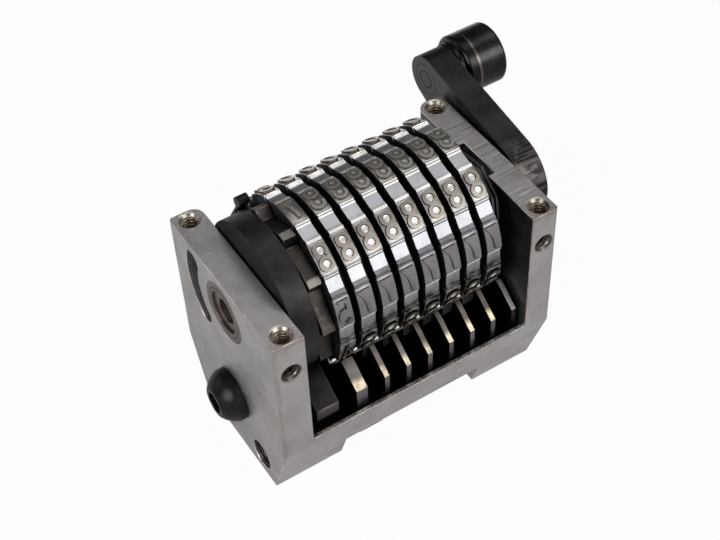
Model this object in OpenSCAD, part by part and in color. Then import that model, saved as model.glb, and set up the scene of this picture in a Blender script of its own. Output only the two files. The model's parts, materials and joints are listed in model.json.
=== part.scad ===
// Rotary numbering box with eight number wheels, detent pawls and a cam lever.
// Drawn from the left front lower corner, then seated so that the origin is the middle of the base.
// X runs along the axle, Y from front to back, Z up. Angles round the axle start at the back, upward.

/* [Body] */
// width over both cheeks
body_w = 57.4; // [50:0.1:66]
// depth from front to back
body_d = 36; // [32:0.1:40]
// height of the cheeks
body_h = 44.4; // [40:0.1:50]
// thickness of the left cheek
left_cheek_t = 5.9; // [5.4:0.1:7]
// thickness of the right cheek
right_cheek_t = 5.5; // [5:0.1:7]
// height of the front and back lip of the base
lip_h = 16.3; // [15.6:0.1:17]
// thickness of the lip
lip_t = 0.9; // [0.7:0.1:1.1]
// height of the trough floor
trough_z = 8; // [7.6:0.1:8.4]
// height at which the low slopes of front and back start
slope_z = 15.2; // [14.5:0.1:15.6]
// depth of the low slopes at the bottom
slope_d = 5.3; // [4.5:0.1:5.8]
// rounding of the inner back corners of the cheek tops
cheek_corner_r = 2.2; // [1.5:0.1:3]
// small bevel along the outer upright edges
edge_bevel = 0.35; // [0.2:0.05:0.6]

/* [Base channel] */
// width of the left foot beside the channel
left_foot_w = 14.2; // [12:0.1:16]
// width of the right foot beside the channel
right_foot_w = 13.4; // [12:0.1:16]
// height of the channel
channel_h = 6.2; // [5:0.1:6.5]
// width of the key strip in the channel
key_w = 4.9; // [4:0.1:6]
// thickness of the key strip
key_t = 1.6; // [1.2:0.1:2]
// distance of the key strip from the channel side
key_in = 3.5; // [2.5:0.1:5]
// distance of the key strip from the front face
key_front = 4; // [3.5:0.1:6]
// radius of the key screw heads
key_head_r = 1.7; // [1.4:0.1:2]
// shank radius of the key and strip screws
screw_r = 1; // [0.8:0.05:1.2]

/* [Holes for fastening] */
// tapping radius of the cheek holes
tap_r = 1.4; // [1.2:0.05:1.6]
// radius of the cheek hole mouths
mouth_r = 1.95; // [1.8:0.05:2.2]
// depth of the mouths
mouth_h = 0.6; // [0.4:0.1:0.9]
// depth of the cheek holes
tap_depth = 7; // [5:0.5:9]
// distance of the top holes from the front and back faces
top_hole_y = 2.34; // [2.25:0.05:3]
// distance of the cheek holes from the left outer face
left_hole_x = 2.87; // [2.5:0.05:3.1]
// distance of the cheek holes from the right outer face
right_hole_x = 2.67; // [2.4:0.05:2.9]
// distance of the front holes below the cheek tops
front_hole_drop = 7.5; // [7:0.1:9]
// depth of the front holes
front_hole_depth = 6; // [4:0.5:8]
// radius of the low side hole
side_hole_r = 3; // [2.5:0.1:3.2]
// distance of the low side hole from the front face
side_hole_y = 10.1; // [9.6:0.1:12]
// height of the low side hole
side_hole_z = 4.4; // [4.2:0.1:4.8]
// depth of the low side hole
side_hole_depth = 9; // [6:0.5:10]

/* [Axle] */
// distance of the axle below the cheek tops
axle_drop = 7.7; // [7:0.1:8.4]
// axle radius
axle_r = 4; // [3.6:0.1:4.4]
// how far the axle end lies inside the left face
axle_recess = 0.6; // [0.4:0.1:1.6]
// width across the socket in the axle end
axle_socket_af = 4.6; // [3.5:0.1:5]
// depth of the socket in the axle end
axle_socket_h = 3; // [2:0.5:4]
// outer radius of the bushes
bush_r = 6; // [5.5:0.1:6.5]

/* [Number wheels] */
// room between the wheels and the pawl eyes
wheel_room = 0.9; // [0.7:0.1:1.6]
// gap between a thin ratchet and the next wheel
wheel_fit = 0.27; // [0.1:0.01:0.5]
// height of a pad over the land
pad_h = 0.8; // [0.5:0.05:1]
// length of a digit pad round the rim
pad_len = 5.6; // [5:0.1:6]
// length of the step before a pad
step_len = 1.2; // [0.8:0.1:1.6]
// turn of the first digit row from the top toward the front
row_turn = 35.75; // [30:0.25:40]

/* [Ratchets] */
// distance of the thin ratchet tips inside the pads
ratchet_in = 3.3; // [3.2:0.1:4]
// tooth depth of the thin ratchets
ratchet_tooth = 1.2; // [0.8:0.1:1.6]
// thickness of the thin ratchets
ratchet_t = 0.95; // [0.7:0.05:1.2]
// distance of the wide ratchet tips inside the pads
unit_ratchet_in = 1.7; // [1.6:0.1:2.4]
// tooth depth of the wide first ratchet
unit_tooth = 2; // [1.4:0.1:2.4]
// width of the wide first ratchet
unit_ratchet_w = 2.55; // [2:0.05:3]

/* [Detent pawls] */
// room between the pawl eyes and the spring strip
eye_room = 0.85; // [0.7:0.05:1.2]
// distance of the pawl bolt behind the axle
bolt_back = 0.3; // [0:0.1:0.8]
// radius of the bolt shank
bolt_r = 3; // [2.6:0.1:3.2]
// radius of the bolt head
head_r = 5.2; // [4.8:0.1:5.5]
// height of the bolt head
head_h = 4.3; // [3.6:0.1:4.6]
// height of the straight band of the bolt head
head_band = 1.4; // [1:0.1:1.8]
// radius of the flat on the bolt head
head_flat_r = 2.9; // [2.6:0.1:3.2]
// width across the socket in the bolt head
head_socket_af = 4; // [3.5:0.1:4.4]
// depth of the socket in the bolt head
head_socket_h = 2.6; // [2:0.1:3]
// radius of the pawl eyes
eye_r = 4.9; // [4.6:0.1:5.2]
// radius of the spacer rings
spacer_r = 4.2; // [3.8:0.1:4.5]
// thickness of a narrow pawl
pawl_t = 1; // [0.8:0.05:1.2]
// thickness of a pawl nose
nose_t = 0.9; // [0.7:0.05:0.95]
// thickness of the wide pawl
wide_pawl_t = 2.3; // [1.6:0.1:2.6]
// distance of the wide end pawl from the left cheek
unit_pawl_in = 1.8; // [1.4:0.1:2.2]
// thickness of the wide end pawl
unit_pawl_t = 4.6; // [4:0.1:5]
// distance of the upright pawl fronts from the front face
pawl_front_y = 1.6; // [1.4:0.05:2]
// height of the bend at the top of the pawl fronts over the lip
pawl_up = 4.2; // [3.4:0.1:5]
// rise of the pawl edge from the bend to the wheels
pawl_rise = 4.5; // [4:0.1:5]
// run of the pawl edge from the bend to the wheels
pawl_run = 7.2; // [6.8:0.1:7.6]
// height of the lower front corner of the wide end pawl over the lip
unit_pawl_up = 1.2; // [0.8:0.1:2]

/* [Detent spring] */
// thickness of the spring strip
strip_t = 0.45; // [0.3:0.05:0.5]
// width of a spring finger
finger_w = 1.8; // [1.2:0.1:2.2]
// distance of the strip from the back wall of the trough
strip_in = 2.6; // [1.5:0.1:3.5]
// distance of the strip screws from the back edge of the strip
strip_screw_in = 3; // [2.5:0.1:3.5]
// radius of the strip screw heads
strip_head_r = 1.9; // [1.5:0.1:2.1]
// height of the strip screw heads
strip_head_h = 1.1; // [0.8:0.1:1.4]

/* [Swing] */
// thickness of the left swing plate
swing_left_t = 4.4; // [4:0.1:4.8]
// thickness of the right swing plate
swing_right_t = 2; // [1.6:0.1:2.4]
// distance of the left swing disc's rim inside the pads
swing_in = 2.2; // [2:0.1:3]
// room between the right swing plate and the right cheek
spring_room = 1.7; // [1.4:0.1:2.2]
// distance of the pawl shaft outside the pads
shaft_out = 3.8; // [3.4:0.1:4.4]
// angle of the pawl shaft from the back, upward
shaft_angle = -17; // [-22:1:-15]
// radius of the pawl shaft
shaft_r = 1.5; // [1.3:0.1:1.7]
// radius of the plate lobes round the pawl shaft
lobe_r = 2.6; // [2.4:0.1:2.9]
// angle of the stop stud from the back, upward
stop_angle = -43; // [-44:0.5:-42]
// radius of the stop stud
stop_r = 1.6; // [1.3:0.1:1.8]
// inner radius of the slot in the left cheek
slot_in_r = 9; // [8.6:0.1:9.1]
// outer radius of the slot in the left cheek
slot_out_r = 13; // [12.9:0.1:13.4]
// travel of the stop stud along the slot in degrees
slot_travel = 63; // [62:0.5:65]

/* [Drive pawl] */
// radius of the drive pawl hub
drive_hub_r = 2.5; // [2.4:0.1:2.7]
// angle of the drive pawl noses from the back, upward
drive_nose_angle = 38; // [35:1:40]
// thickness of the wide drive finger
unit_finger_t = 2.2; // [1.6:0.1:2.4]
// radius of the rounded end of the wide drive finger
unit_finger_end_r = 1.25; // [0.9:0.05:1.5]
// wire radius of the drive pawl spring
drive_wire_r = 0.22; // [0.18:0.01:0.25]
// turns of the drive pawl spring
drive_turns = 4; // [3:1:5]

/* [Lever] */
// thickness of the lever arm
arm_t = 5.36; // [4.8:0.1:6]
// gap between the right cheek and the lever arm
arm_gap = 0.4; // [0.3:0.05:0.6]
// distance from the axle to the roller
arm_len = 24.5; // [22:0.5:27]
// angle of the arm from the back, upward
arm_angle = 18.1; // [15:0.5:25]
// radius of the lever hub
arm_hub_r = 8.19; // [7.5:0.1:9]
// radius of the lever eye
arm_eye_r = 4.71; // [4.4:0.1:5]
// radius of the stud end in the lever eye
stud_end_r = 1.85; // [1.6:0.05:2.2]
// radius of the roller journal
journal_r = 3; // [2.6:0.1:3.4]
// roller radius
roller_r = 6; // [5.6:0.1:6.6]
// roller length
roller_len = 9.5; // [8:0.1:11]
// length of the narrow shoulder of the roller
shoulder_len = 1; // [0.6:0.1:1.4]
// radius of the narrow shoulder of the roller
shoulder_r = 5; // [4.7:0.1:5.2]

/* [Swing spring] */
// wire radius of the swing spring
swing_wire_r = 0.4; // [0.3:0.05:0.45]
// distance of the coil inside the pocket's wall
coil_in = 1; // [0.6:0.1:1.2]
// turns of the swing spring
swing_turns = 2; // [1.5:0.5:2]
// radius of the spring pocket in the right cheek
pocket_r = 9; // [8.8:0.1:9.5]

/* [Hidden] */
$fn = 96;
wheel_count = 8;
digit_count = 10;
digit_step = 360 / digit_count;
round_turn = 360;
half_turn = 180;
quarter_turn = 90;
hex_corner = 1 / cos(30);
// clearances: turning parts, pressed parts, parts side by side, parts that pass each other
run_fit = 0.05;
press_fit = 0.01;
side_fit = 0.1;
gap_fit = 0.3;
pin_fit = 0.02;
overrun = 1;

// the room between the cheeks, and the pieces that fill it from both sides
axle_y = body_d / 2;
axle_z = body_h - axle_drop;
front_hole_z = body_h - front_hole_drop;
inner_left = left_cheek_t;
inner_right = body_w - right_cheek_t;
inner_w = inner_right - inner_left;
swing_left_x = inner_left + gap_fit;
swing_left_end = swing_left_x + swing_left_t;
swing_right_end = inner_right - spring_room;
swing_right_x = swing_right_end - swing_right_t;
unit_ratchet_x = swing_left_end + gap_fit;
stack_x = unit_ratchet_x + unit_ratchet_w;
stack_end = swing_right_x - gap_fit;
wheel_pitch = (stack_end - stack_x + wheel_fit) / wheel_count;
wheel_w = wheel_pitch - ratchet_t - wheel_fit;
first_wheel_x = stack_x + wheel_w / 2;

// the channel and its key
channel_x = left_foot_w;
channel_w = body_w - left_foot_w - right_foot_w;
key_x = channel_x + key_in;
key_len = body_d - 2 * key_front;
key_screw_ys = [body_d / 4, 3 * body_d / 4];

// the pawl bolt, and radii round the axle that its place leaves
bolt_y = axle_y + bolt_back;
bolt_z = trough_z + strip_t + eye_room + eye_r;
bolt_end = body_w - 3 * edge_bevel - overrun;
wheel_r = axle_z - bolt_z - eye_r - wheel_room;
land_r = wheel_r - pad_h;
step_r = wheel_r - pad_h / 2;
ratchet_r = wheel_r - ratchet_in;
unit_ratchet_r = wheel_r - unit_ratchet_in;
swing_r = wheel_r - swing_in;
detent_tip_r = ratchet_r + gap_fit;
unit_tip_r = unit_ratchet_r + gap_fit;
wheel_clear_r = wheel_r + gap_fit;
crank_out_r = wheel_clear_r + 2 * pawl_t;
unit_tip_turn = 176;
// a ratchet tooth: places along the tooth pitch, and how deep each lies
tooth_turn_shares = [-0.16, 0, 0.1, 0.5];
tooth_depth_shares = [0, 0, 1, 0.75];

// the row of detent pawls: equal gaps from the end pawl to the last one
crank_share = 0.59;
unit_pawl_x = inner_left + unit_pawl_in + unit_pawl_t / 2;
unit_pawl_end = unit_pawl_x + unit_pawl_t / 2;
pawl_gap = (gap_x(wheel_count - 1) + pawl_t * (crank_share + 1 / 2 - wheel_count + 1)
  - wide_pawl_t - unit_pawl_end) / (wheel_count - crank_share);
pawl_pitch = pawl_gap + pawl_t;
wide_pawl_x = unit_pawl_end + pawl_gap + wide_pawl_t / 2;
narrow_pawl_x = wide_pawl_x + wide_pawl_t / 2 + pawl_gap + pawl_t / 2;
pawl_bend_z = lip_h + pawl_up;
crank_front_share = 0.82;
crank_front_y = pawl_front_y + pawl_run * crank_front_share;
unit_pawl_z = lip_h + unit_pawl_up;
// upper edge of a pawl from the bend to the wheels, in shares of its run and rise
edge_run_shares = [0, 0.22, 0.46, 0.75, 1, 1.5];
edge_rise_shares = [0, 0.24, 0.56, 0.84, 1, 1.12];
// lower edge of a narrow pawl, in shares of the way from front to bolt and from floor to bolt
low_run_shares = [0.72, 0.47, 0.17];
low_rise_shares = [0.78, 0.65, 0.38];
arm_root_share = 0.85;
low_front = concat(
  [for (k = [0:len(low_run_shares) - 1])
    [pawl_front_y + (bolt_y - pawl_front_y) * low_run_shares[k],
     trough_z + (bolt_z - trough_z) * low_rise_shares[k]]],
  [[pawl_front_y, lip_h - gap_fit]]);
// lower edge of the wide end pawl, above the lip
unit_front = [
  [bolt_y - eye_r / 2, bolt_z - eye_r * 2 / 3],
  [pawl_front_y + 2 * lip_t, unit_pawl_z - lip_t / 3],
  [pawl_front_y + lip_t / 2, unit_pawl_z],
  [pawl_front_y, unit_pawl_z + lip_t]
];

// the spring strip on the trough floor
trough_slope_in = slope_d * (1 - trough_z / slope_z);
strip_front = bolt_y + 2 * screw_r;
strip_back = body_d - lip_t - trough_slope_in - strip_in;
strip_screw_y = strip_back - strip_screw_in;
strip_screw_xs = [inner_left + inner_w / 6, inner_right - inner_w / 6];

// the swing: pawl shaft, stop stud in its slot, cross pins
shaft_at = polar(wheel_r + shaft_out, shaft_angle);
slot_mid_r = (slot_in_r + slot_out_r) / 2;
slot_half_w = (slot_out_r - slot_in_r) / 2;
slot_play = 0.8;
slot_low_angle = stop_angle - slot_play;
slot_high_angle = slot_low_angle + slot_travel + 2 * slot_play;
stop_at = polar(slot_mid_r, stop_angle);
small_pin_r = 1.25;
pin_angle = -135;
plate_pin_x = swing_left_x + swing_left_t / 2;

// the swing spring in its pocket
swing_spring_r = pocket_r - coil_in - swing_wire_r;
swing_pitch_share = 2.4;
swing_coil_len = swing_pitch_share * swing_wire_r * swing_turns;
swing_coil_x = swing_right_end + 2 * swing_wire_r;
swing_first_angle = -120;
swing_last_angle = swing_first_angle + swing_turns * round_turn;
swing_tang_r = swing_wire_r + 2 * run_fit;
pocket_h = swing_coil_x + swing_coil_len + swing_wire_r + side_fit - inner_right;

// the drive pawl and its spring
drive_x = swing_left_end + 2 * side_fit;
drive_end = swing_right_x - 2 * side_fit;
drive_first_angle = 200;
drive_coil_r = shaft_r + 2 * drive_wire_r + run_fit;
drive_coil_x = swing_left_end + 3 * drive_wire_r;
drive_coil_len = 3 * drive_wire_r * drive_turns;
drive_cup_r = drive_coil_r + drive_wire_r + run_fit;
drive_cup_end = drive_coil_x + drive_coil_len + 2 * drive_wire_r;
nose_taper = 2;

// the lever, its roller and clip
arm_x = body_w + arm_gap;
arm_end = arm_x + arm_t;
lever_pin_x = arm_x + arm_t / 2;
eye_at = polar(arm_len, arm_angle);
roller_x = arm_end + side_fit;
roller_end = roller_x + roller_len;
roller_soft = 0.5;
clip_t = 0.6;
clip_x = roller_end - 2 * clip_t - side_fit;
cup_x = clip_x - side_fit;
cup_r = journal_r + 2 * clip_t;
groove_r = journal_r * 3 / 4;

function polar(r, a) = [axle_y + r * cos(a), axle_z + r * sin(a)];
function gap_x(i) = first_wheel_x + (i + 1 / 2) * wheel_pitch;
function pawl_x(i) = i == 0 ? wide_pawl_x : narrow_pawl_x + (i - 1) * pawl_pitch;
function pawl_w(i) = i == 0 ? wide_pawl_t : pawl_t;
function eye_start(i) = i < 0 ? unit_pawl_x - unit_pawl_t / 2 : pawl_x(i) - pawl_w(i) / 2;
function eye_stop(i) = i < 0 ? unit_pawl_end : pawl_x(i) + pawl_w(i) / 2;

// stands an outline in the side view (back, up) along the axle direction
module along(x, len) {
  translate([x, 0, 0]) rotate([quarter_turn, 0, quarter_turn]) linear_extrude(len) children();
}

// a round bar along the axle direction
module bar(x, len, r, at) {
  translate([x, at[0], at[1]]) rotate([0, quarter_turn, 0]) cylinder(h = len, r = r);
}

// a hexagonal bar along the axle direction
module hex_bar(x, len, af, at) {
  translate([x, at[0], at[1]]) rotate([0, quarter_turn, 0])
    cylinder(h = len, r = af / 2 * hex_corner, $fn = 6);
}

module axle_circle(r) {
  translate([axle_y, axle_z]) circle(r);
}

// two circles joined by their tangents: a tapered link
module link_outline(a, ra, b, rb) {
  d = norm(b - a);
  dir = atan2(b[1] - a[1], b[0] - a[0]);
  open = acos((ra - rb) / d);
  translate(a) circle(ra);
  translate(b) circle(rb);
  polygon([
    a + ra * [cos(dir + open), sin(dir + open)],
    a + ra * [cos(dir - open), sin(dir - open)],
    b + rb * [cos(dir - open), sin(dir - open)],
    b + rb * [cos(dir + open), sin(dir + open)]
  ]);
}

// saw outline: from each tip's short land a steep drop, then a long hollow rise to the next tip
module saw_outline(tip, depth, turn) {
  polygon([for (k = [0:digit_count - 1], j = [0:len(tooth_turn_shares) - 1])
    polar(tip - depth * tooth_depth_shares[j], turn + (k + tooth_turn_shares[j]) * digit_step)]);
}

// one unbroken wire with a tang at each end, wound about a line along the axle direction
module wire_coil(x, len, coil_r, wire_r, turns, at, tang_low, tang_high, first_angle) {
  rings = 8;
  sides = 6;
  steps = round(turns * rings);
  // each point: distance along the axle direction, angle, and the tilt of its section
  low = [[x - tang_low, 0, 0], [x - wire_r, 0, 0]];
  wound = [for (i = [0:steps]) [x + len * i / steps, i * round_turn / rings, quarter_turn]];
  high = [[x + len + wire_r, steps * round_turn / rings, 0],
          [x + len + tang_high, steps * round_turn / rings, 0]];
  path = concat(low, wound, high);
  points = [for (p = path, s = [0:sides - 1])
    let (t = s * round_turn / sides,
         out = coil_r + wire_r * cos(t),
         a = first_angle + p[1],
         around = p[2] == 0 ? wire_r * sin(t) : 0,
         ahead = p[2] == 0 ? 0 : -wire_r * sin(t))
    [p[0] + ahead,
     at[0] + out * cos(a) - around * sin(a),
     at[1] + out * sin(a) + around * cos(a)]];
  last = len(path) - 1;
  walls = [for (i = [0:last - 1], s = [0:sides - 1], h = [0:1])
    let (s2 = (s + 1) % sides)
    h == 0 ? [i * sides + s, i * sides + s2, (i + 1) * sides + s2]
           : [i * sides + s, (i + 1) * sides + s2, (i + 1) * sides + s]];
  ends = [[for (s = [sides - 1:-1:0]) s], [for (s = [0:sides - 1]) last * sides + s]];
  polyhedron(points, concat(walls, ends));
}

module side_outline() {
  polygon([
    [0, slope_z], [0, body_h], [body_d, body_h], [body_d, slope_z],
    [body_d - slope_d, 0], [slope_d, 0]
  ]);
}

module trough_outline() {
  polygon([
    [lip_t, lip_h + overrun], [lip_t, slope_z], [lip_t + trough_slope_in, trough_z],
    [body_d - lip_t - trough_slope_in, trough_z], [body_d - lip_t, slope_z],
    [body_d - lip_t, lip_h + overrun]
  ]);
}

module slot_outline() {
  for (a = [slot_low_angle, slot_high_angle]) translate(polar(slot_mid_r, a)) circle(slot_half_w);
  difference() {
    axle_circle(slot_out_r);
    axle_circle(slot_in_r);
    // keep the sector between the two ends
    sector_cut(slot_high_angle, slot_low_angle + round_turn);
  }
}

// everything round the axle from one angle to another, more than half a turn
module sector_cut(from, to) {
  far = 3 * slot_out_r;
  steps = 6;
  polygon(concat([polar(0, 0)],
    [for (i = [0:steps]) polar(far, from + (to - from) * i / steps)]));
}

module tapped_hole(depth) {
  translate([0, 0, -depth]) cylinder(h = depth + overrun, r = tap_r);
  translate([0, 0, -mouth_h]) cylinder(h = mouth_h, r1 = tap_r, r2 = mouth_r);
  translate([0, 0, 0]) cylinder(h = overrun, r = mouth_r);
}

module body() {
  color([0.62, 0.62, 0.63]) difference() {
    along(0, body_w) side_outline();
    // the room between the cheeks
    translate([inner_left, -overrun, lip_h])
      cube([inner_w, body_d + 2 * overrun, body_h - lip_h + overrun]);
    along(inner_left, inner_w) trough_outline();
    // channel under the base
    translate([channel_x, -overrun, -overrun])
      cube([channel_w, body_d + 2 * overrun, channel_h + overrun]);
    // rounded inner back corners of the cheek tops
    for (x = [inner_left - cheek_corner_r, inner_right + cheek_corner_r])
      corner_cut(x);
    // bevels along the outer upright edges
    for (x = [0, body_w], y = [0, body_d])
      translate([x, y, body_h / 2]) rotate([0, 0, quarter_turn / 2])
        cube([edge_bevel * sqrt(2), edge_bevel * sqrt(2), body_h + 2 * overrun], center = true);
    // bores for the bushes and the pawl bolt
    bar(-overrun, left_cheek_t + 2 * overrun, bush_r + press_fit, [axle_y, axle_z]);
    bar(inner_right - overrun, right_cheek_t + 2 * overrun, bush_r + press_fit, [axle_y, axle_z]);
    bar(-overrun, body_w - edge_bevel, bolt_r + run_fit, [bolt_y, bolt_z]);
    // kidney slot for the stop stud
    along(-overrun, left_cheek_t + 2 * overrun) slot_outline();
    // pocket and tang hole for the swing spring
    bar(inner_right - overrun, pocket_h + overrun, pocket_r, [axle_y, axle_z]);
    bar(inner_right, pocket_h + 3 * overrun, swing_tang_r,
        polar(swing_spring_r, swing_last_angle));
    // tapped holes in the cheek tops
    for (x = [left_hole_x, body_w - right_hole_x], y = [top_hole_y, body_d - top_hole_y])
      translate([x, y, body_h]) tapped_hole(tap_depth);
    // tapped holes in the front faces
    for (x = [left_hole_x, body_w - right_hole_x])
      translate([x, 0, front_hole_z]) rotate([quarter_turn, 0, 0]) tapped_hole(front_hole_depth);
    // low side hole
    bar(-overrun, side_hole_depth + overrun, side_hole_r, [side_hole_y, side_hole_z]);
    // holes for the key and strip screws
    for (y = key_screw_ys)
      translate([key_x + key_w / 2, y, 0]) cylinder(h = trough_z - overrun / 2, r = screw_r + pin_fit);
    for (x = strip_screw_xs)
      translate([x, strip_screw_y, channel_h + overrun / 2])
        cylinder(h = trough_z, r = screw_r + pin_fit);
  }
}

// takes the inner back top corner off a cheek, leaving a rounding
module corner_cut(x) {
  toward = x < body_w / 2 ? 0 : -cheek_corner_r;
  translate([x + toward, body_d - cheek_corner_r, lip_h]) difference() {
    cube([cheek_corner_r, cheek_corner_r + overrun, body_h]);
    translate([x < body_w / 2 ? 0 : cheek_corner_r, 0, -overrun])
      cylinder(h = body_h + 2 * overrun, r = cheek_corner_r);
  }
}

module left_bush() {
  color([0.36, 0.31, 0.28]) difference() {
    bar(0, left_cheek_t, bush_r, [axle_y, axle_z]);
    bar(-overrun, left_cheek_t + 2 * overrun, axle_r + run_fit, [axle_y, axle_z]);
  }
}

module right_bush() {
  color([0.36, 0.31, 0.28]) difference() {
    bar(inner_right, right_cheek_t, bush_r, [axle_y, axle_z]);
    bar(inner_right - overrun, right_cheek_t + 2 * overrun, axle_r + run_fit, [axle_y, axle_z]);
  }
}

module pawl_bolt() {
  // sphere through the edge of the band and the edge of the flat
  drop = (head_r * head_r + head_band * head_band - head_flat_r * head_flat_r
    - head_h * head_h) / (2 * (head_band - head_h));
  dome_r = sqrt(head_r * head_r + (head_band - drop) * (head_band - drop));
  color([0.07, 0.07, 0.08]) difference() {
    union() {
      bar(0, bolt_end, bolt_r, [bolt_y, bolt_z]);
      intersection() {
        bar(-head_h, head_h, head_r, [bolt_y, bolt_z]);
        translate([-drop, bolt_y, bolt_z]) rotate([0, quarter_turn, 0]) sphere(dome_r);
      }
    }
    hex_bar(-head_h - overrun, head_socket_h + overrun, head_socket_af, [bolt_y, bolt_z]);
  }
}

module spacer(from, to) {
  difference() {
    bar(from + side_fit, to - from - 2 * side_fit, spacer_r, [bolt_y, bolt_z]);
    bar(from, to - from, bolt_r + run_fit, [bolt_y, bolt_z]);
  }
}

module pawl_spacers() {
  color([0.2, 0.2, 0.2]) {
    spacer(inner_left, eye_start(-1));
    for (i = [0:wheel_count - 1]) spacer(eye_stop(i - 1), eye_start(i));
    spacer(eye_stop(wheel_count - 1), inner_right);
  }
}

// side view of one spring finger: flat under the eyes, then rising under the pawl arm
module finger_outline() {
  lift = 2 * strip_t;
  rise_y = bolt_y - eye_r + lift;
  tip_y = bolt_y - eye_r - 5 * strip_t;
  tip_z = trough_z + 7 * strip_t;
  polygon([
    [strip_front + overrun, trough_z + pin_fit], [strip_front + overrun, trough_z + strip_t],
    [rise_y, trough_z + strip_t], [tip_y, tip_z + strip_t], [tip_y - strip_t, tip_z],
    [rise_y - strip_t / 2, trough_z + pin_fit]
  ]);
}

module detent_spring() {
  color([0.25, 0.25, 0.27]) difference() {
    union() {
      translate([eye_start(-1), strip_front, trough_z + pin_fit])
        cube([eye_stop(wheel_count - 1) - eye_start(-1), strip_back - strip_front,
              strip_t - pin_fit]);
      for (i = [-1:wheel_count - 1])
        along((eye_start(i) + eye_stop(i)) / 2 - finger_w / 2, finger_w) finger_outline();
    }
    for (x = strip_screw_xs)
      translate([x, strip_screw_y, trough_z - overrun])
        cylinder(h = strip_t + 2 * overrun, r = screw_r + pin_fit);
  }
}

// pan screw standing on its shank, head upward
module pan_screw(shank_h, head_rad, head_height) {
  difference() {
    union() {
      translate([0, 0, -shank_h]) cylinder(h = shank_h + head_height / 2, r = screw_r);
      cylinder(h = head_height, r = head_rad);
    }
    // straight driver slot
    translate([-head_rad - overrun, -head_rad / 6, head_height / 2])
      cube([2 * (head_rad + overrun), head_rad / 3, head_height]);
  }
}

module strip_screws() {
  color([0.3, 0.3, 0.3]) for (x = strip_screw_xs)
    translate([x, strip_screw_y, trough_z + strip_t + pin_fit])
      pan_screw(strip_t + trough_z - channel_h - overrun, strip_head_r, strip_head_h);
}

module channel_key() {
  color([0.1, 0.1, 0.1]) difference() {
    translate([key_x, key_front, channel_h - key_t])
      cube([key_w, key_len, key_t - pin_fit]);
    for (y = key_screw_ys) translate([key_x + key_w / 2, y, 0]) {
      cylinder(h = channel_h + overrun, r = screw_r + pin_fit);
      translate([0, 0, channel_h - key_t - overrun])
        cylinder(h = key_t / 2 + overrun, r = key_head_r + pin_fit);
    }
  }
}

module key_screws() {
  head = key_t / 2;
  color([0.3, 0.3, 0.3]) for (y = key_screw_ys)
    translate([key_x + key_w / 2, y, channel_h - key_t + head]) rotate([half_turn, 0, 0])
      pan_screw(head + overrun, key_head_r, head);
}

module swing_spring() {
  color([0.3, 0.3, 0.32])
    wire_coil(swing_coil_x, swing_coil_len, swing_spring_r, swing_wire_r, swing_turns,
              [axle_y, axle_z], 2 * swing_wire_r + swing_right_t / 2,
              inner_right + pocket_h + overrun - swing_coil_x - swing_coil_len,
              swing_first_angle);
}

// a round pin that points at the axle from outside
module radial_pin(x, from_r, to_r, r, a) {
  at = polar(from_r, a);
  translate([x, at[0], at[1]]) rotate([a - quarter_turn, 0, 0])
    cylinder(h = to_r - from_r, r = r);
}

module axle() {
  color([0.28, 0.26, 0.25]) difference() {
    bar(axle_recess, arm_end - axle_recess, axle_r, [axle_y, axle_z]);
    hex_bar(axle_recess - overrun, axle_socket_h + overrun, axle_socket_af, [axle_y, axle_z]);
    radial_pin(plate_pin_x, axle_r / 2, axle_r + overrun, small_pin_r + pin_fit, pin_angle);
    radial_pin(lever_pin_x, axle_r / 2, axle_r + overrun, small_pin_r + pin_fit, pin_angle);
  }
}

module lever_arm() {
  color([0.07, 0.07, 0.07]) difference() {
    along(arm_x, arm_t) link_outline([axle_y, axle_z], arm_hub_r, eye_at, arm_eye_r);
    bar(arm_x - overrun, arm_t + 2 * overrun, axle_r + press_fit, [axle_y, axle_z]);
    bar(arm_x - overrun, arm_t + 2 * overrun, stud_end_r + press_fit, eye_at);
    radial_pin(lever_pin_x, axle_r / 2, arm_hub_r + overrun, small_pin_r + pin_fit, pin_angle);
  }
}

module lever_pin() {
  color([0.2, 0.2, 0.2])
    radial_pin(lever_pin_x, axle_r / 2 + pin_fit, arm_hub_r - gap_fit, small_pin_r, pin_angle);
}

module roller_stud() {
  color([0.22, 0.2, 0.19]) difference() {
    union() {
      bar(arm_x, arm_t, stud_end_r, eye_at);
      bar(arm_end, roller_end - clip_t / 2 - arm_end, journal_r, eye_at);
    }
    // groove for the clip
    difference() {
      bar(clip_x, clip_t, journal_r + overrun, eye_at);
      bar(clip_x - overrun, clip_t + 2 * overrun, groove_r, eye_at);
    }
  }
}

module roller_clip() {
  ring_r = cup_r - gap_fit;
  color([0.4, 0.4, 0.4]) difference() {
    bar(clip_x + pin_fit, clip_t - 2 * pin_fit, ring_r, eye_at);
    bar(clip_x - overrun, clip_t + 2 * overrun, groove_r + pin_fit, eye_at);
    // open side of the clip
    translate([clip_x - overrun, eye_at[0], eye_at[1] - journal_r / 2])
      cube([clip_t + 2 * overrun, ring_r + overrun, journal_r]);
  }
}

module cam_roller() {
  color([0.05, 0.05, 0.06]) difference() {
    union() {
      bar(roller_x, shoulder_len, shoulder_r, eye_at);
      translate([roller_x + shoulder_len, eye_at[0], eye_at[1]]) rotate([0, quarter_turn, 0])
        cylinder(h = roller_soft, r1 = roller_r - roller_soft, r2 = roller_r);
      bar(roller_x + shoulder_len + roller_soft, roller_len - shoulder_len - 2 * roller_soft, roller_r, eye_at);
      translate([roller_end - roller_soft, eye_at[0], eye_at[1]]) rotate([0, quarter_turn, 0])
        cylinder(h = roller_soft, r1 = roller_r, r2 = roller_r - roller_soft);
    }
    bar(roller_x - overrun, roller_len + 2 * overrun, journal_r + run_fit, eye_at);
    bar(cup_x, roller_len, cup_r, eye_at);
  }
}

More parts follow.
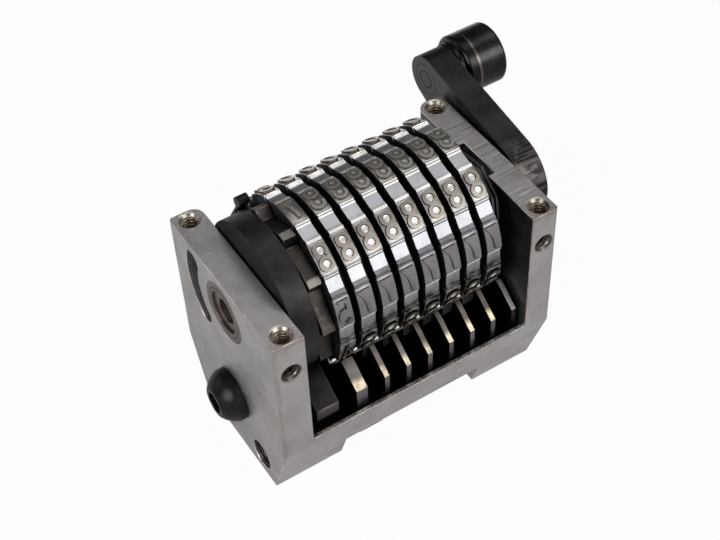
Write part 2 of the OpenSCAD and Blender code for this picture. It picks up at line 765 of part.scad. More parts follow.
module swing_plate_left() {
  color([0.08, 0.08, 0.08]) difference() {
    along(swing_left_x, swing_left_t) {
      axle_circle(swing_r);
      link_outline([axle_y, axle_z], 2 * lobe_r, shaft_at, lobe_r);
      // the stud's own lobe, which shows only where the disc is small
      link_outline([axle_y, axle_z], 2 * lobe_r, stop_at, 2 * stop_r);
    }
    bar(swing_left_x - overrun, swing_left_t + 2 * overrun, axle_r + pin_fit, [axle_y, axle_z]);
    bar(swing_left_x - overrun, swing_left_t + 2 * overrun, shaft_r + press_fit, shaft_at);
    bar(swing_left_x - overrun, swing_left_t + 2 * overrun, stop_r + press_fit, stop_at);
    radial_pin(plate_pin_x, axle_r / 2, swing_r + overrun, small_pin_r + pin_fit, pin_angle);
    // hole for the tang of the drive pawl spring
    bar(swing_left_end - overrun, 2 * overrun, drive_wire_r + run_fit,
        shaft_at + drive_coil_r * [cos(drive_first_angle), sin(drive_first_angle)]);
  }
}

module swing_plate_right() {
  color([0.08, 0.08, 0.08]) difference() {
    along(swing_right_x, swing_right_t) {
      axle_circle(swing_spring_r + 5 * swing_wire_r);
      link_outline([axle_y, axle_z], 2 * lobe_r, shaft_at, lobe_r);
    }
    bar(swing_right_x - overrun, swing_right_t + 2 * overrun, axle_r + pin_fit, [axle_y, axle_z]);
    bar(swing_right_x - overrun, swing_right_t + 2 * overrun, shaft_r + press_fit, shaft_at);
    // hole for the tang of the swing spring
    bar(swing_right_x + swing_right_t / 2 - 2 * pin_fit, swing_right_t, swing_tang_r,
        polar(swing_spring_r, swing_first_angle));
  }
}

module plate_pin() {
  color([0.2, 0.2, 0.2])
    radial_pin(plate_pin_x, axle_r / 2 + pin_fit, swing_r - 2 * overrun, small_pin_r, pin_angle);
}

module pawl_shaft() {
  color([0.3, 0.3, 0.3]) bar(swing_left_x, swing_right_end - swing_left_x, shaft_r, shaft_at);
}

module stop_stud() {
  color([0.5, 0.5, 0.5])
    bar(axle_recess, swing_left_end - axle_recess, stop_r, stop_at);
}

module drive_spring() {
  color([0.35, 0.35, 0.35])
    wire_coil(drive_coil_x, drive_coil_len, drive_coil_r, drive_wire_r, drive_turns, shaft_at,
              3 * drive_wire_r + overrun / 2, 2 * drive_wire_r + overrun / 2, drive_first_angle);
}

// a finger from the hub to a nose that stops short of a ratchet, with a rounded end if it has one
module drive_finger(x, t, tip_r, end_r) {
  nose_out_r = tip_r + 2 * gap_fit;
  nose_at = polar(nose_out_r, drive_nose_angle);
  nose_in = polar(tip_r - gap_fit, drive_nose_angle + nose_taper);
  out = atan2(nose_at[1] - shaft_at[1], nose_at[0] - shaft_at[0]) - quarter_turn;
  root_r = drive_hub_r * arm_root_share;
  difference() {
    union() {
      along(x, t) polygon([
        shaft_at + root_r * [cos(out), sin(out)], nose_at, nose_in,
        shaft_at - root_r * [cos(out), sin(out)]
      ]);
      if (end_r > 0) bar(x, t, end_r, nose_at);
    }
    bar(x - overrun, t + 2 * overrun, tip_r, [axle_y, axle_z]);
  }
}

module drive_pawl() {
  color([0.12, 0.11, 0.1]) difference() {
    union() {
      bar(drive_x, drive_end - drive_x, drive_hub_r, shaft_at);
      drive_finger(drive_x, unit_finger_t, unit_tip_r, unit_finger_end_r);
      for (i = [0:wheel_count - 1]) drive_finger(gap_x(i) - nose_t / 2, nose_t, detent_tip_r, 0);
    }
    bar(drive_x - overrun, drive_end - drive_x + 2 * overrun, shaft_r + run_fit, shaft_at);
    // cup for the spring and its far tang
    bar(drive_x - overrun, drive_cup_end - drive_x + 2 * overrun, drive_cup_r, shaft_at);
  }
}

// one digit pad: the raised pad, its lower step, and the land
module wheel_outline() {
  axle_circle(land_r);
  for (k = [0:digit_count - 1])
    translate([axle_y, axle_z]) rotate(quarter_turn + row_turn + k * digit_step) {
      intersection() {
        circle(wheel_r);
        translate([0, -pad_len / 2]) square([wheel_r + overrun, pad_len]);
      }
      intersection() {
        circle(step_r);
        translate([0, -pad_len / 2 - step_len]) square([wheel_r + overrun, pad_len + step_len]);
      }
    }
}

module number_wheel(i) {
  x = first_wheel_x + i * wheel_pitch - wheel_w / 2;
  color([0.75, 0.75, 0.76]) difference() {
    along(x, wheel_w) wheel_outline();
    bar(x - overrun, wheel_w + 2 * overrun, axle_r + run_fit, [axle_y, axle_z]);
  }
}

module ratchet(i) {
  x = first_wheel_x + i * wheel_pitch + wheel_w / 2;
  color([0.1, 0.1, 0.1]) difference() {
    along(x, ratchet_t) saw_outline(ratchet_r, ratchet_tooth, unit_tip_turn);
    bar(x - overrun, ratchet_t + 2 * overrun, axle_r + run_fit, [axle_y, axle_z]);
  }
}

module unit_ratchet() {
  color([0.3, 0.27, 0.25]) difference() {
    along(unit_ratchet_x, unit_ratchet_w) saw_outline(unit_ratchet_r, unit_tooth, unit_tip_turn);
    bar(unit_ratchet_x - overrun, unit_ratchet_w + 2 * overrun, axle_r + run_fit,
        [axle_y, axle_z]);
  }
}

module pawl_arm_outline(bottom_z) {
  top = [for (k = [0:len(edge_run_shares) - 1])
    [pawl_front_y + pawl_run * edge_run_shares[k], pawl_bend_z + pawl_rise * edge_rise_shares[k]]];
  low = bottom_z < lip_h ? low_front : unit_front;
  root = [[bolt_y + eye_r / 4, bolt_z + eye_r * arm_root_share], [bolt_y, bolt_z]];
  polygon(concat(top, root, low));
}

module pawl_outline(bottom_z) {
  pawl_arm_outline(bottom_z);
  translate([bolt_y, bolt_z]) circle(eye_r);
}

module detent(i) {
  nose_left = gap_x(i) - nose_t / 2;
  plate_left = eye_start(i);
  crank_left = min(nose_left, plate_left);
  crank_right = max(nose_left + nose_t, plate_left + pawl_w(i));
  color([0.16, 0.15, 0.13]) difference() {
    union() {
      // the plate in front of and below the wheels
      along(plate_left, pawl_w(i)) difference() {
        pawl_outline(0);
        axle_circle(wheel_clear_r);
      }
      // the nose that reaches in between two wheels
      along(nose_left, nose_t) intersection() {
        nose_band(crank_out_r, detent_tip_r);
        pawl_outline(0);
      }
      // the crank from the plate over to the nose
      along(crank_left, crank_right - crank_left) intersection() {
        nose_band(crank_out_r, wheel_clear_r);
        pawl_outline(0);
      }
    }
    bar(plate_left - overrun, pawl_w(i) + 2 * overrun, bolt_r + run_fit, [bolt_y, bolt_z]);
  }
}

// ring round the axle between two radii, only its part behind the open edge of the pawls
module nose_band(out_r, in_r) {
  difference() {
    axle_circle(out_r);
    axle_circle(in_r);
    square([crank_front_y, body_h]);
    translate([pawl_front_y + pawl_run * 3 / 2, 0]) square([body_d, body_h]);
  }
}

module unit_detent() {
  x = eye_start(-1);
  color([0.2, 0.19, 0.18]) difference() {
    union() {
      along(x, unit_pawl_t) pawl_arm_outline(unit_pawl_z);
      bar(x, unit_pawl_t, eye_r, [bolt_y, bolt_z]);
    }
    bar(x - overrun, unit_pawl_t + 2 * overrun, unit_tip_r, [axle_y, axle_z]);
    bar(x - overrun, unit_pawl_t + 2 * overrun, bolt_r + run_fit, [bolt_y, bolt_z]);
  }
}

translate([-body_w / 2, -body_d / 2, 0]) {
  body();
  left_bush();
  right_bush();
  pawl_bolt();
  pawl_spacers();
  detent_spring();
  strip_screws();
  channel_key();
  key_screws();
  swing_spring();
  axle();
  lever_arm();
  lever_pin();
  roller_stud();
  roller_clip();
  swing_plate_left();
  swing_plate_right();
  plate_pin();
  pawl_shaft();
  stop_stud();
  drive_spring();
  cam_roller();
  drive_pawl();
  unit_ratchet();
  unit_detent();
  number_wheel(0);  // number_wheel_1
  number_wheel(1);  // number_wheel_2
  number_wheel(2);  // number_wheel_3
  number_wheel(3);  // number_wheel_4
  number_wheel(4);  // number_wheel_5
  number_wheel(5);  // number_wheel_6
  number_wheel(6);  // number_wheel_7
  number_wheel(7);  // number_wheel_8
  ratchet(0);  // ratchet_1
  ratchet(1);  // ratchet_2
  ratchet(2);  // ratchet_3
  ratchet(3);  // ratchet_4
  ratchet(4);  // ratchet_5
  ratchet(5);  // ratchet_6
  ratchet(6);  // ratchet_7
  ratchet(7);  // ratchet_8
  detent(0);  // detent_1
  detent(1);  // detent_2
  detent(2);  // detent_3
  detent(3);  // detent_4
  detent(4);  // detent_5
  detent(5);  // detent_6
  detent(6);  // detent_7
  detent(7);  // detent_8
}
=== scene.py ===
import json
import math

import bmesh
import bpy
from mathutils import Matrix, Vector


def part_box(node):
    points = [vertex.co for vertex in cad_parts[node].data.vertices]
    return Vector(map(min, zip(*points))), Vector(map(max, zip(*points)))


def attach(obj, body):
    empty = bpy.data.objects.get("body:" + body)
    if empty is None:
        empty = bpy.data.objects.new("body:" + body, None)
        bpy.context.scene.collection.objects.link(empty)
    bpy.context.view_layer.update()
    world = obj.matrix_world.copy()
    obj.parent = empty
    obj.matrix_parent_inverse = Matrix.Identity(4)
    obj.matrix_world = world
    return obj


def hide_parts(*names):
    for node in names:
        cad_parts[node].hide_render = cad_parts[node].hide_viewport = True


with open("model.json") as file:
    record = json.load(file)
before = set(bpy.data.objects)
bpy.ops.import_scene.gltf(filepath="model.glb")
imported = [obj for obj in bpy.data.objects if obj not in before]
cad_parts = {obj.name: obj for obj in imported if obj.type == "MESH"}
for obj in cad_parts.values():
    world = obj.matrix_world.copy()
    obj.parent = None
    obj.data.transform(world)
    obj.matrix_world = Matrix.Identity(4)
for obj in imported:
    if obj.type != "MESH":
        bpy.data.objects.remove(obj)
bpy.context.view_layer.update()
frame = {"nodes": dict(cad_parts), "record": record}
nodes = frame["nodes"]

MM = 0.001

# sizes in millimetres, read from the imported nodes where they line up


def box_mm(name):
    low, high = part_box(name)
    return [v / MM for v in low], [v / MM for v in high]


axle_low, axle_high = box_mm("axle")
body_low, body_high = box_mm("body")
AXLE_Y = (axle_low[1] + axle_high[1]) / 2
AXLE_Z = (axle_low[2] + axle_high[2]) / 2
WHEELS = 8
DIGITS = 10
STEP = 2 * math.pi / DIGITS
WHEEL_R = 16.7
ROW_TURN = math.radians(35.75)
PLATE_R = WHEEL_R - 0.42
LAND_R = WHEEL_R - 1.02
HUB_R = 12.5
PAD_HALF = 2.9
DIGIT_H = WHEEL_R - PLATE_R
RATCHET_TIP_R = 15
SHARP = math.radians(32)
LIP_TOP = 16.3
LOW_SLOPE = 5.3 / 15.2
CHEEK_TOP = body_high[2]
HOLE_XS = (body_low[0] + 2.87, body_high[0] - 2.67)
HOLE_YS = (body_low[1] + 2.34, body_high[1] - 2.34)
# the rows of pads by angle, in degrees from the top toward the front
ROW_BACK = -36.25
ROW_TOP = -0.25
ROW_THIRD = 71.75
ROW_LOW = 107.75
stud_low, stud_high = box_mm("roller_stud")
STUD_Y = (stud_low[1] + stud_high[1]) / 2
STUD_Z = (stud_low[2] + stud_high[2]) / 2
STUD_RING = 3
roller_low, roller_high = box_mm("cam_roller")
COLLAR_SHARE = 0.36
COLLAR_X = roller_low[0] + COLLAR_SHARE * (roller_high[0] - roller_low[0])
# edges of the body's inside, darkened with painted shade: the cheeks' inner faces, the low walls, their
# tops, the floor
CHEEKS_IN = (-22.9, 23.3)
LIP_IN = 17.1
SILL = 16.56
FLOOR_TOP = 7.8
SLOPE_REACH = 12.4
HAIR = 0.04
# a dark line runs round the bush at this radius
BUSH_LINE = 4.7
# how far out from the axle the painted light of a row of pads begins and is full
PAD_REACH = (15.0, 15.9)
LOW_REACH = (14.4, 15.4)
# tapped holes: radius, depth of the thread, and how far below the face it starts
SMALL_HOLE = (1.4, 5)
TOP_THREAD_START = 0.95
FRONT_THREAD_START = 0.85
FRONT_HOLE_DROP = 7.5
HOLE_NEAR = 2.2
SIDE_HOLE = (3, 8)
SIDE_THREAD_START = 0.4
SIDE_HOLE_Y = body_low[1] + 10.1
SIDE_HOLE_Z = 4.4

# material nodes

# patches to the metre in the tone of a piece
PATCH_SCALE = 160


def blank_finish(name):
    mat = bpy.data.materials.new(name)
    mat.use_nodes = True
    tree = mat.node_tree
    tree.nodes.clear()
    out = tree.nodes.new("ShaderNodeOutputMaterial")
    shader = tree.nodes.new("ShaderNodeBsdfPrincipled")
    tree.links.new(shader.outputs[0], out.inputs[0])
    return mat, tree, shader


def place_in(tree, scale=(1, 1, 1), turn=(0, 0, 0)):
    """Object coordinates; a small scale along an axis draws the pattern out along it."""
    coord = tree.nodes.new("ShaderNodeTexCoord")
    mapping = tree.nodes.new("ShaderNodeMapping")
    mapping.inputs["Scale"].default_value = scale
    mapping.inputs["Rotation"].default_value = turn
    tree.links.new(coord.outputs["Object"], mapping.inputs["Vector"])
    return mapping.outputs[0]


def noise(tree, vector, scale, detail=4, rough=0.6):
    n = tree.nodes.new("ShaderNodeTexNoise")
    n.inputs["Scale"].default_value = scale
    n.inputs["Detail"].default_value = detail
    n.inputs["Roughness"].default_value = rough
    tree.links.new(vector, n.inputs["Vector"])
    return n.outputs["Fac"]


def ramp(tree, fac, stops):
    r = tree.nodes.new("ShaderNodeValToRGB")
    ends = r.color_ramp.elements
    while len(ends) < len(stops):
        ends.new(0.5)
    for element, (at, value) in zip(ends, stops):
        element.position = at
        colour = value if isinstance(value, (tuple, list)) else (value, value, value)
        element.color = (*colour, 1)
    tree.links.new(fac, r.inputs[0])
    return r.outputs[0]


def rise(tree, fac, low, high):
    """0 below low, 1 above high; the other way round where low is the larger."""
    m = tree.nodes.new("ShaderNodeMapRange")
    m.inputs["From Min"].default_value = low
    m.inputs["From Max"].default_value = high
    tree.links.new(fac, m.inputs["Value"])
    return m.outputs[0]


def span(tree, place, low, high):
    """The rise of a place along an axis, with low and high in millimetres."""
    return rise(tree, place, low * MM, high * MM)


def times(tree, a, b):
    m = tree.nodes.new("ShaderNodeMath")
    m.operation = "MULTIPLY"
    tree.links.new(a, m.inputs[0])
    tree.links.new(b, m.inputs[1])
    return m.outputs[0]


def either(tree, a, b):
    m = tree.nodes.new("ShaderNodeMath")
    m.operation = "MAXIMUM"
    tree.links.new(a, m.inputs[0])
    tree.links.new(b, m.inputs[1])
    return m.outputs[0]


def axes(tree):
    split = tree.nodes.new("ShaderNodeSeparateXYZ")
    tree.links.new(place_in(tree), split.inputs[0])
    return split.outputs


def out_at(tree, turn, low, high):
    """1 where the surface reaches far out from the axle at this angle, top toward the front."""
    way = math.radians(turn)
    reach = tree.nodes.new("ShaderNodeVectorMath")
    reach.operation = "DOT_PRODUCT"
    reach.inputs[1].default_value = (0, -math.sin(way), math.cos(way))
    tree.links.new(place_in(tree), reach.inputs[0])
    sunk = AXLE_Z * math.cos(way) - AXLE_Y * math.sin(way)
    return span(tree, reach.outputs["Value"], low + sunk, high + sunk)


def around(tree, y, z):
    """The distance from a line along x at this place, in metres."""
    flat = tree.nodes.new("ShaderNodeMapping")
    coord = tree.nodes.new("ShaderNodeTexCoord")
    flat.inputs["Location"].default_value = (0, -y * MM, -z * MM)
    flat.inputs["Scale"].default_value = (0, 1, 1)
    tree.links.new(coord.outputs["Object"], flat.inputs["Vector"])
    length = tree.nodes.new("ShaderNodeVectorMath")
    length.operation = "LENGTH"
    tree.links.new(flat.outputs[0], length.inputs[0])
    return length.outputs["Value"]


def band(tree, place, low, high, soft=0.08):
    """1 between low and high, in millimetres, with soft edges."""
    return times(tree, span(tree, place, low - soft, low + soft),
                 span(tree, place, high + soft, high - soft))


def mix(tree, fac, a, b, mode="MIX"):
    m = tree.nodes.new("ShaderNodeMix")
    m.data_type = "RGBA"
    m.blend_type = mode
    for socket, value in ((0, fac), (6, a), (7, b)):
        if hasattr(value, "is_linked"):
            tree.links.new(value, m.inputs[socket])
        elif socket == 0:
            m.inputs[socket].default_value = value
        else:
            m.inputs[socket].default_value = (*value, 1)
    return m.outputs[2]


def bump(tree, shader, height, strength, distance):
    b = tree.nodes.new("ShaderNodeBump")
    b.inputs["Strength"].default_value = strength
    b.inputs["Distance"].default_value = distance
    tree.links.new(height, b.inputs["Height"])
    tree.links.new(b.outputs[0], shader.inputs["Normal"])


def worked_steel(name, dark, light, rough, grain=(1, 1, 1), grain_scale=900, bump_strength=0.12,
                 stain=None, extra=None):
    """Two tones in a soft patchwork, fine grain in roughness and bump, and stains.

    extra takes the tree and the tone so far, and gives the tone with its own marks added.
    """
    mat, tree, shader = blank_finish(name)
    patches = noise(tree, place_in(tree), PATCH_SCALE, 5)
    tone = ramp(tree, patches, [(0.35, dark), (0.65, light)])
    fine = noise(tree, place_in(tree, grain), grain_scale, 3, 0.7)
    tone = mix(tree, 0.5, tone, ramp(tree, fine, [(0.3, 0.62), (0.7, 1.0)]), "MULTIPLY")
    if stain:
        colour, start, full = stain
        spots = noise(tree, place_in(tree, (1, 1, 1), (0.5, 1.1, 0.3)), 260, 6, 0.7)
        tone = mix(tree, ramp(tree, spots, [(start, 0.0), (full, 1.0)]), tone, colour)
    if extra:
        tone = extra(tree, tone)
    tree.links.new(tone, shader.inputs["Base Color"])
    shader.inputs["Metallic"].default_value = 1.0
    tree.links.new(ramp(tree, fine, [(0.25, rough[0]), (0.75, rough[1])]),
                   shader.inputs["Roughness"])
    bump(tree, shader, fine, bump_strength, 0.00004)
    return mat


def patchy(tree, scale, low, high):
    """Soft patches between these two strengths."""
    return ramp(tree, noise(tree, place_in(tree, (1, 1, 1), (0.8, 0.3, 0.4)), scale, 3, 0.6),
                [(0.4, low), (0.6, high)])


def body_marks_and_shade(tree, tone):
    """Painted shade over the inside, lifted by painted light toward the front and low down; grinding
    streaks on the right cheek's top, a rough lip, brown stains.
    """
    x, y, z = axes(tree)
    between = band(tree, x, *CHEEKS_IN, HAIR)
    behind_lips = band(tree, y, -LIP_IN, LIP_IN, HAIR)
    above_lips = span(tree, z, SILL - HAIR, SILL + HAIR)
    inside = times(tree, times(tree, between, span(tree, z, FLOOR_TOP, FLOOR_TOP + 0.1)),
                   either(tree, behind_lips, above_lips))
    for way in (1, -1):
        slope = tree.nodes.new("ShaderNodeVectorMath")
        slope.operation = "DOT_PRODUCT"
        slope.inputs[1].default_value = (0, way, LOW_SLOPE)
        tree.links.new(place_in(tree), slope.inputs[0])
        inside = times(tree, inside, span(tree, slope.outputs["Value"], -SLOPE_REACH, 0.2 - SLOPE_REACH))
    inside_patches = noise(tree, place_in(tree, (1, 1, 1), (0.4, 0.3, 0.8)), 240, 4, 0.6)
    on_top = times(tree, span(tree, z, CHEEK_TOP - 0.3, CHEEK_TOP - 0.2), span(tree, x, 20, 22))
    streaks = noise(tree, place_in(tree, (0.05, 1, 0.05)), 2600, 2, 0.5)
    bright = times(tree, on_top, ramp(tree, streaks, [(0.6, 0.0), (0.7, 0.8)]))
    tone = mix(tree, bright, tone, (0.85, 0.8, 0.68))
    dull = times(tree, on_top, ramp(tree, streaks, [(0.34, 0.5), (0.44, 0.0)]))
    tone = mix(tree, dull, tone, (0.2, 0.19, 0.17))
    lip_low = span(tree, z, LIP_TOP - 0.5, LIP_TOP - 0.1)
    lip_high = span(tree, z, LIP_TOP + 0.4, LIP_TOP + 0.1)
    lip = times(tree, times(tree, lip_low, lip_high), span(tree, y, -16.9, -17.4))
    lip = times(tree, lip, between)
    chips = noise(tree, place_in(tree, (1, 1, 1.5)), 1700, 4, 0.8)
    tone = mix(tree, times(tree, lip, ramp(tree, chips, [(0.5, 0.0), (0.56, 0.9)])), tone,
               (0.95, 0.93, 0.9))
    tone = mix(tree, times(tree, lip, ramp(tree, chips, [(0.4, 0.9), (0.46, 0.0)])), tone,
               (0.05, 0.045, 0.05))
    corner = times(tree, span(tree, z, CHEEK_TOP - 1.6, CHEEK_TOP - 0.1),
                   span(tree, y, -15.8, -17.8))
    worn = noise(tree, place_in(tree, (1, 1, 1), (0.9, 0.1, 0.5)), 700, 4, 0.7)
    tone = mix(tree, times(tree, corner, ramp(tree, worn, [(0.4, 0.15), (0.6, 0.9)])), tone,
               (0.33, 0.27, 0.2))
    nicks = noise(tree, place_in(tree, (1, 0.7, 1.6), (0.6, 0.2, 0.3)), 1300, 2, 0.5)
    tone = mix(tree, ramp(tree, nicks, [(0.735, 0.0), (0.75, 0.8)]), tone, (0.2, 0.17, 0.15))
    tone = mix(tree, ramp(tree, nicks, [(0.25, 0.7), (0.265, 0.0)]), tone, (0.95, 0.93, 0.9))
    handled = noise(tree, place_in(tree, (1, 1, 1), (1.2, 0.4, 0.9)), 95, 3, 0.6)
    tone = mix(tree, ramp(tree, handled, [(0.63, 0.0), (0.74, 0.35)]), tone, (0.42, 0.36, 0.27))
    # painted shade: the inside takes a near-black tone in soft patches
    black = ramp(tree, inside_patches, [(0.35, (0.12, 0.115, 0.12)), (0.7, (0.24, 0.23, 0.24))])
    # painted light: the inside is lifted to grey toward the front and low down
    black = mix(tree, times(tree, span(tree, y, -8, -16.5), span(tree, z, 30, 18)),
                black, (0.34, 0.33, 0.345))
    return mix(tree, inside, tone, black)


def edge_marks(tree, tone):
    """The broken edges are bright, partly wear and partly a painted highlight, but stained brown along
    the front of the cheeks.
    """
    y = axes(tree)[1]
    front = times(tree, span(tree, y, -16.2, -17.2), patchy(tree, 600, 0.55, 0.95))
    return mix(tree, front, tone, (0.3, 0.255, 0.21))


def pawl_edge_highlight(tree, tone):
    """Painted highlight: the pawl's upper edge turns straw-bright toward the front, where it catches the
    light.
    """
    near = span(tree, axes(tree)[1], -14.4, -15.4)
    sheen_patches = noise(tree, place_in(tree, (1, 1, 1), (0.3, 0.1, 0.2)), 520, 4, 0.6)
    fac = times(tree, near, ramp(tree, sheen_patches, [(0.36, 0.3), (0.54, 1.0)]))
    return mix(tree, fac, tone, (0.72, 0.62, 0.45))


def on_rim(tree):
    """1 on the faces that run round a piece, 0 on its flat sides across x."""
    coord = tree.nodes.new("ShaderNodeTexCoord")
    side = tree.nodes.new("ShaderNodeVectorMath")
    side.operation = "ABSOLUTE"
    tree.links.new(coord.outputs["Normal"], side.inputs[0])
    split = tree.nodes.new("ShaderNodeSeparateXYZ")
    tree.links.new(side.outputs[0], split.inputs[0])
    return rise(tree, split.outputs[0], 0.6, 0.4)


def lever_marks(tree, tone):
    """A worn patch with machining ridges where the lever leaves the cheek."""
    x, _, z = axes(tree)
    low = times(tree, band(tree, z, 35.2, 44.5, 0.6), on_rim(tree))
    patch = noise(tree, place_in(tree, (1, 1, 1), (0.7, 0.2, 0.1)), 330, 4, 0.7)
    ridge = noise(tree, place_in(tree, (0.05, 1, 0.3)), 2100, 1, 0.4)
    tone = mix(tree, times(tree, low, ramp(tree, ridge, [(0.5, 0.0), (0.58, 0.5)])), tone,
               (0.2, 0.18, 0.17))
    tone = mix(tree, times(tree, low, ramp(tree, patch, [(0.5, 0.0), (0.62, 0.6)])), tone,
               (0.22, 0.195, 0.185))
    eye = around(tree, STUD_Y, STUD_Z)
    inner_face = span(tree, x, 29.3, 29.1)
    tone = mix(tree, times(tree, inner_face, span(tree, eye, 10.5, 9.5)), tone,
               (0.1, 0.089, 0.088))
    return mix(tree, times(tree, inner_face, band(tree, eye, STUD_RING, STUD_RING + 0.22)), tone,
               (0.02, 0.018, 0.018))


def roller_marks(tree, tone):
    """A polished ring where the roller's collar ends, darker on the lever's side."""
    x = axes(tree)[0]
    tone = mix(tree, span(tree, x, COLLAR_X + 0.2, COLLAR_X - 0.2), tone, (0.62, 0.62, 0.62),
               "MULTIPLY")
    return mix(tree, band(tree, x, COLLAR_X - 0.22, COLLAR_X + 0.22, 0.15), tone,
               (0.15, 0.125, 0.12))


def bush_marks(tree, tone):
    """The bush is worn brown at its rim, with a dark line and a grimy inner zone."""
    r = around(tree, AXLE_Y, AXLE_Z)
    tone = mix(tree, band(tree, r, BUSH_LINE, BUSH_LINE + 0.25, 0.06), tone, (0.03, 0.026, 0.026))
    return mix(tree, span(tree, r, BUSH_LINE + 0.05, BUSH_LINE - 0.1), tone, (0.2, 0.165, 0.155))


def wheel_row_light(tree, tone):
    """Painted light by row: painted shade makes the upper row dull olive, the third row gets a cool grey
    tint, and painted shade darkens the lowest row in patches; a painted highlight whitens the back row.
    """
    # painted shade on the upper row
    dull = times(tree, out_at(tree, ROW_TOP, *PAD_REACH), patchy(tree, 500, 0.55, 0.85))
    tone = mix(tree, dull, tone, (0.35, 0.335, 0.31))
    # painted highlight on the back row
    back = times(tree, out_at(tree, ROW_BACK, *PAD_REACH), patchy(tree, 700, 0.4, 0.95))
    tone = mix(tree, back, tone, (0.95, 0.93, 0.9))
    # painted light: a cooler, darker tint on the third row
    cool = out_at(tree, ROW_THIRD, *PAD_REACH)
    tone = mix(tree, cool, tone, (0.78, 0.8, 0.86), "MULTIPLY")
    # painted shade on the lowest row, in patches
    low_row_shade = times(tree, out_at(tree, ROW_LOW, *LOW_REACH), patchy(tree, 650, 0.45, 1.0))
    return mix(tree, low_row_shade, tone, (0.12, 0.117, 0.116), "MULTIPLY")


def wall_shade_by_row(tree, tone):
    """The digits' outlines, painted shade on their walls, hardly show in the upper and third rows and
    are darker in the lowest.
    """
    upper = times(tree, out_at(tree, ROW_TOP, *PAD_REACH), patchy(tree, 800, 0.6, 0.9))
    tone = mix(tree, upper, tone, (0.27, 0.26, 0.24))
    third = times(tree, out_at(tree, ROW_THIRD, *PAD_REACH), patchy(tree, 800, 0.3, 0.6))
    tone = mix(tree, third, tone, (0.24, 0.235, 0.24))
    return mix(tree, out_at(tree, ROW_LOW, *LOW_REACH), tone, (0.1, 0.1, 0.1), "MULTIPLY")


def bowl_row_shade(tree, tone):
    """Painted shade: the bowls of the upper row are dulled."""
    return mix(tree, out_at(tree, ROW_TOP, *PAD_REACH), tone, (0.42, 0.41, 0.39), "MULTIPLY")


BODY_STEEL = worked_steel("body_ground_steel", (0.53, 0.5, 0.5), (0.66, 0.625, 0.625),
                          (0.36, 0.54), (1, 0.5, 1), 1900, 0.12,
                          ((0.3, 0.265, 0.22), 0.68, 0.8), body_marks_and_shade)
# broken edges: partly real wear, partly a painted highlight
WORN_EDGE_AND_SHEEN = worked_steel("worn_edge_and_sheen", (0.6, 0.56, 0.48), (0.9, 0.86, 0.76), (0.3, 0.45),
                         (1, 1, 1), 1500, 0.1, None, edge_marks)
SINK_STEEL = worked_steel("countersink_steel", (0.24, 0.21, 0.18), (0.5, 0.46, 0.41), (0.24, 0.36),
                          (1, 1, 1), 1500, 0.1)
LAND_STEEL = worked_steel("wheel_land_steel", (0.43, 0.435, 0.455), (0.53, 0.535, 0.56),
                          (0.3, 0.46), (1, 0.2, 0.2), 2200, 0.14,
                          ((0.45, 0.43, 0.42), 0.66, 0.8), wheel_row_light)
SHOULDER_STEEL = worked_steel("wheel_step_steel", (0.42, 0.415, 0.41), (0.6, 0.595, 0.59),
                              (0.3, 0.44), (0.3, 1, 1), 2200, 0.1,
                              ((0.35, 0.31, 0.26), 0.66, 0.8), wheel_row_light)
PAD_STEEL = worked_steel("pad_steel", (0.38, 0.365, 0.355), (0.5, 0.485, 0.47), (0.28, 0.4),
                         (1, 1, 1), 1500, 0.1, ((0.36, 0.3, 0.24), 0.6, 0.78), wheel_row_light)
DIGIT_STEEL = worked_steel("digit_face_steel", (0.32, 0.285, 0.245), (0.46, 0.415, 0.365),
                           (0.4, 0.52), (1, 1, 1), 1800, 0.12,
                           ((0.25, 0.2, 0.15), 0.62, 0.8), wheel_row_light)
# painted shade on the digits' stroke walls
DIGIT_WALL_SHADE = worked_steel("digit_wall_shade", (0.09, 0.07, 0.06), (0.18, 0.14, 0.12),
                          (0.45, 0.6), (1, 1, 1), 1800, 0.1, None, wall_shade_by_row)
# painted highlight: the near-white floors of the digits' bowls
BOWL_HIGHLIGHT = worked_steel("digit_bowl_highlight", (0.88, 0.86, 0.82), (0.97, 0.95, 0.92),
                          (0.34, 0.44), (1, 1, 1), 1500, 0.06, None, bowl_row_shade)
# painted shade: the wheels' flat sides between the wheels, and the axle's broken edges against the bush
GAP_SHADE = worked_steel("gap_shade_steel", (0.06, 0.057, 0.06), (0.13, 0.124, 0.129),
                         (0.4, 0.6), (1, 1, 1), 1200, 0.12)
BLACK = worked_steel("black_oxide", (0.022, 0.021, 0.021), (0.045, 0.043, 0.043), (0.3, 0.46),
                     (1, 1, 1), 1600, 0.08, ((0.09, 0.08, 0.072), 0.62, 0.85))
ROLLER_BLACK = worked_steel("roller_black_oxide", (0.028, 0.0265, 0.027), (0.056, 0.053, 0.054),
                            (0.2, 0.32), (1, 1, 1), 1600, 0.03,
                            ((0.12, 0.11, 0.1), 0.64, 0.85), roller_marks)
LEVER_BLACK = worked_steel("lever_black_oxide", (0.028, 0.026, 0.026), (0.056, 0.052, 0.051),
                           (0.36, 0.52), (1, 1, 1), 1700, 0.16,
                           ((0.09, 0.08, 0.07), 0.64, 0.85), lever_marks)
STUD_END = worked_steel("stud_end_steel", (0.05, 0.052, 0.052), (0.11, 0.112, 0.11),
                        (0.36, 0.5), (1, 1, 1), 1300, 0.12)
PLATE_BLACK = worked_steel("black_plate", (0.032, 0.029, 0.03), (0.06, 0.055, 0.056),
                           (0.42, 0.6), (1, 1, 1), 1200, 0.15,
                           ((0.09, 0.08, 0.07), 0.6, 0.85))
